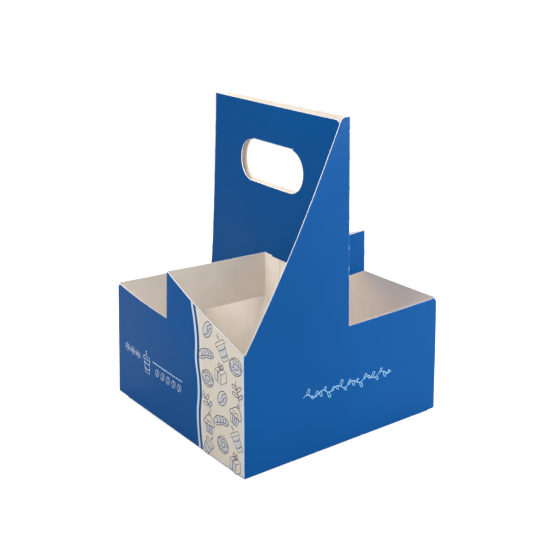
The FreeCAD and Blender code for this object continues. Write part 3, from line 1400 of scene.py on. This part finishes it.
@dataclass(frozen=True)
class VarnishedPrint:
    """The blue print under its satin varnish."""

    name: str = "blue_print"
    deep: tuple = (0.0005, 0.0685, 0.247, 1)
    light: tuple = (0.0007, 0.0745, 0.268, 1)
    roughness: float = 0.36
    gloss: float = 0.075

    def material(self) -> bpy.types.Material:
        """Makes the blue print's material."""
        recipe = Recipe(self.name)
        slow = recipe.spread(recipe.noise(9, 2), (0.35, 0.65))
        blue = recipe.mix_colour(slow, self.deep, self.light)
        satin = (self.roughness - 0.03, self.roughness + 0.04)
        roughness = recipe.spread(recipe.noise(26, 3), (0.3, 0.7), satin)
        return recipe.finished(blue, roughness, self.gloss, recipe.noise(1100, 3), 0.05)


@dataclass(frozen=True)
class Board:
    """The uncoated cream board of the inside."""

    name: str = "cream_board"
    pale: tuple = (0.88, 0.81, 0.73, 1)
    dark: tuple = (0.84, 0.765, 0.68, 1)
    fibre: tuple = (0.66, 0.58, 0.48, 1)
    roughness: float = 0.88
    gloss: float = 0.1

    def material(self) -> bpy.types.Material:
        """Makes the board's material, with clouding and fine fibres."""
        recipe = Recipe(self.name)
        cloud = recipe.spread(recipe.noise(60, 4), (0.3, 0.7))
        cream = recipe.mix_colour(cloud, self.pale, self.dark)
        fine = recipe.noise(700, 4, recipe.stretched(1, 1, 0.35))
        flecked = recipe.mix_colour(recipe.spread(fine, (0.66, 0.78), (0, 0.5)), cream, self.fibre)
        return recipe.finished(flecked, self.roughness, self.gloss, recipe.noise(900, 5), 0.12)


@dataclass(frozen=True)
class CutEdge:
    """The bare edge of the board, where the plies show."""

    name: str = "cut_edge"
    core: tuple = (0.90, 0.90, 0.90, 1)
    shade: tuple = (0.78, 0.81, 0.86, 1)
    roughness: float = 0.9
    gloss: float = 0.1

    def material(self) -> bpy.types.Material:
        """Makes the cut edge's material."""
        recipe = Recipe(self.name)
        uneven = recipe.spread(recipe.noise(420, 3), (0.35, 0.65))
        plies = recipe.mix_colour(uneven, self.core, self.shade)
        return recipe.finished(plies, self.roughness, self.gloss, recipe.noise(1500, 3), 0.15)


@dataclass(frozen=True)
class FoldHighlight:
    """The print on a fold, with a painted highlight: lighter blue along the arc, and lighter still in noise
    patches and at the ties.
    """

    name: str = "fold_highlight"
    # The fold's blue is lighter than the flat print's blue: a painted highlight along the rounded fold.
    blue: tuple = (0.002, 0.082, 0.29, 1)
    # The colour of the fold's brightest painted highlight.
    lit_blue: tuple = (0.30, 0.47, 0.68, 1)
    roughness: float = 0.45
    gloss: float = 0.1
    tie_spacing: float = 0.02
    tie_start: float = 0.105
    tie_size: float = 0.0016
    tub_height: float = 0.091

    def material(self) -> bpy.types.Material:
        """Makes the fold's material, with its painted highlight."""
        recipe = Recipe(self.name)
        # Painted highlight: lighter noise patches along the fold, and lighter spots at the ties above the
        # tub.
        lit_patches = recipe.spread(recipe.noise(260, 4), (0.58, 0.74))
        height = recipe.height()
        past_tie = recipe.maths("SUBTRACT", height, self.tie_start - self.tie_spacing * 5)
        off_tie = recipe.maths("PINGPONG", past_tie, self.tie_spacing / 2)
        at_tie = recipe.spread(off_tie, (self.tie_size, 0), (0, 0.8))
        above = recipe.spread(height, (self.tub_height, self.tub_height + 0.001))
        lit_share = recipe.maths("MAXIMUM", lit_patches, recipe.maths("MULTIPLY", at_tie, above))
        print_colour = recipe.mix_colour(lit_share, self.blue, self.lit_blue)
        return recipe.finished(print_colour, self.roughness, self.gloss, recipe.noise(600, 4), 0.2)


class Dressing:
    """The card's finishes, made once and given to every piece of card."""

    def __init__(self) -> None:
        """Makes the finishes."""
        self.materials = {
            Coat.PRINT: VarnishedPrint().material(),
            Coat.BOARD: Board().material(),
            Coat.EDGE: CutEdge().material(),
            # The folds and the band's corner get painted highlights, lighter blue and pale.
            Coat.FOLD: FoldHighlight().material(),
            Coat.PALE: Ink("corner_highlight_ink", (0.55, 0.63, 0.70)).material(),
        }

    def card_piece(self, piece: Piece) -> None:
        """Gives a piece of card its finishes and its place in the frame."""
        for coat, material in self.materials.items():
            piece.data.materials[coat.value] = material
        register(piece)


@dataclass
class Studio:
    """The floor, the soft light and the camera of the picture."""

    camera_place: tuple = (-419.06, -562.67, 341.57)
    yaw: float = 53.282
    pitch: float = 18.722
    lens: float = 64.014
    aim: tuple = (0, 0, 90)
    lamps: tuple = (
        ("left_softbox", (-620, -150, 700), 400, 2.6),
        ("side_softbox", (-700, 60, 480), 400, 2.4),
        ("right_softbox", (560, -620, 380), 400, 6.3),
        ("high_softbox", (100, -700, 1000), 600, 6.6),
        ("top_softbox", (-100, 0, 900), 500, 1.4),
        ("back_softbox", (1400, 700, 1100), 1000, 38),
    )
    ambient: float = 0.12
    floor_reach: float = 30000.0
    floor_gap: float = 0.3
    floor_tone: float = 0.55
    floor_roughness: float = 0.9
    floor_gloss: float = 0.1
    floor_glow: float = 0.6
    fade_start: float = 260.0
    fade_end: float = 900.0

    def build(self) -> None:
        """Sets up the camera, the floor, the lamps and the background."""
        self.camera()
        self.floor()
        for name, place, size, power in self.lamps:
            self.lamp(name, place, size, power)
        self.background()
        bpy.context.scene.view_settings.view_transform = "Standard"

    def camera(self) -> None:
        """Places the camera at the picture's viewing angle."""
        sensor = bpy.data.cameras.new("camera")
        sensor.lens = self.lens
        sensor.sensor_width = 36
        sensor.clip_end = 100
        sensor.dof.use_dof = False
        camera = linked("camera", sensor)
        yaw = radians(self.yaw)
        pitch = radians(self.pitch)
        ahead = Vector((cos(pitch) * cos(yaw), cos(pitch) * sin(yaw), -sin(pitch)))
        camera.location = metres(*self.camera_place)
        camera.rotation_euler = ahead.to_track_quat("-Z", "Y").to_euler()
        bpy.context.scene.camera = camera

    def lamp(self, name: str, place: tuple, size: float, power: float) -> None:
        """Adds a square soft lamp that points at the carrier.

        Args:
            name: The lamp's name.
            place: Where it hangs, in millimetres.
            size: Its side in millimetres.
            power: Its power in watts.
        """
        light = bpy.data.lights.new(name, "AREA")
        light.shape = "SQUARE"
        light.size = size * MM
        light.energy = power
        lamp = linked(name, light)
        lamp.location = metres(*place)
        towards = metres(*self.aim) - lamp.location
        lamp.rotation_euler = towards.to_track_quat("-Z", "Y").to_euler()
        lamp.visible_camera = False

    def floor(self) -> None:
        """Lays a plain pale floor that keeps the carrier's shadow."""
        leave_all()
        bpy.ops.mesh.primitive_circle_add(
            vertices=96, radius=self.floor_reach * MM, fill_type="NGON", location=(0, 0, 0)
        )
        floor = bpy.context.object
        floor.name = "floor"
        floor.data.transform(Matrix.Translation(metres(0, 0, -self.floor_gap)))
        recipe = Recipe("pale_floor")
        recipe.finished((*3 * (self.floor_tone,), 1), self.floor_roughness, self.floor_gloss)
        to_camera = recipe.node("LightPath", {}).outputs["Is Camera Ray"]
        low_glow = self.glow(recipe, to_camera, self.floor_glow)
        lit = recipe.node("AddShader", {0: recipe.shader.outputs["BSDF"], 1: low_glow})
        distance = recipe.node("VectorMath", {0: recipe.place})
        distance.operation = "LENGTH"
        away = recipe.spread(distance.outputs["Value"], (self.fade_start * MM, self.fade_end * MM))
        share = recipe.maths("MULTIPLY", to_camera, away)
        full_glow = self.glow(recipe, to_camera, 1)
        fade = recipe.node("MixShader", {"Fac": share, 1: lit.outputs["Shader"], 2: full_glow})
        recipe.feed(recipe.nodes["Material Output"].inputs["Surface"], fade.outputs["Shader"])
        floor.data.materials.append(recipe.material)

    def glow(self, recipe: Recipe, to_camera: Socket, strength: float) -> Socket:
        """A white glow of a strength that only the camera sees."""
        strength = recipe.maths("MULTIPLY", to_camera, strength)
        return recipe.node("Emission", {"Strength": strength}).outputs["Emission"]

    def background(self) -> None:
        """Makes the background white to the camera and an even soft light elsewhere."""
        world = bpy.data.worlds.new("studio")
        bpy.context.scene.world = world
        world.use_nodes = True
        tree = Tree(world.node_tree)
        tree.nodes.clear()
        path = tree.node("LightPath", {}).outputs
        seen = tree.maths("MAXIMUM", path["Is Camera Ray"], path["Is Glossy Ray"])
        seen = tree.maths("MAXIMUM", seen, path["Is Transmission Ray"])
        light, white = (
            tree.node("Background", {"Color": WHITE, "Strength": strength}).outputs["Background"]
            for strength in (self.ambient, 1)
        )
        choice = tree.node("MixShader", {"Fac": seen, 1: light, 2: white})
        tree.node("OutputWorld", {"Surface": choice.outputs["Shader"]})


def main() -> None:
    """Builds the carrier and its studio."""
    logging.basicConfig(level=logging.INFO, format="%(message)s")
    Studio().build()
    layout = FoldedCard()
    card = layout.build()
    settling = Settling(layout)
    settling.settle(card)
    work_on(card)
    bpy.ops.object.shade_smooth_by_angle(angle=SMOOTH_ANGLE)
    apply_modifier(card, "WEIGHTED_NORMAL", keep_sharp=True)
    dress = Dressing()
    dress.card_piece(card)
    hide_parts("cup_carrier")
    near_tab = HandTab(layout, layout.tab_shift).build()
    far_tab = HandTab(layout, -layout.tab_shift).build()
    far_tab.data.transform(HALF_TURN)
    far_tab.name = "hand_tab_back"
    flap = GlueFlap(layout).build()
    for piece in (near_tab, far_tab, flap, turned_copy(flap)):
        settling.settle(piece)
        dress.card_piece(piece)
    Prints(layout, settling).build()


if __name__ == "__main__":
    main()
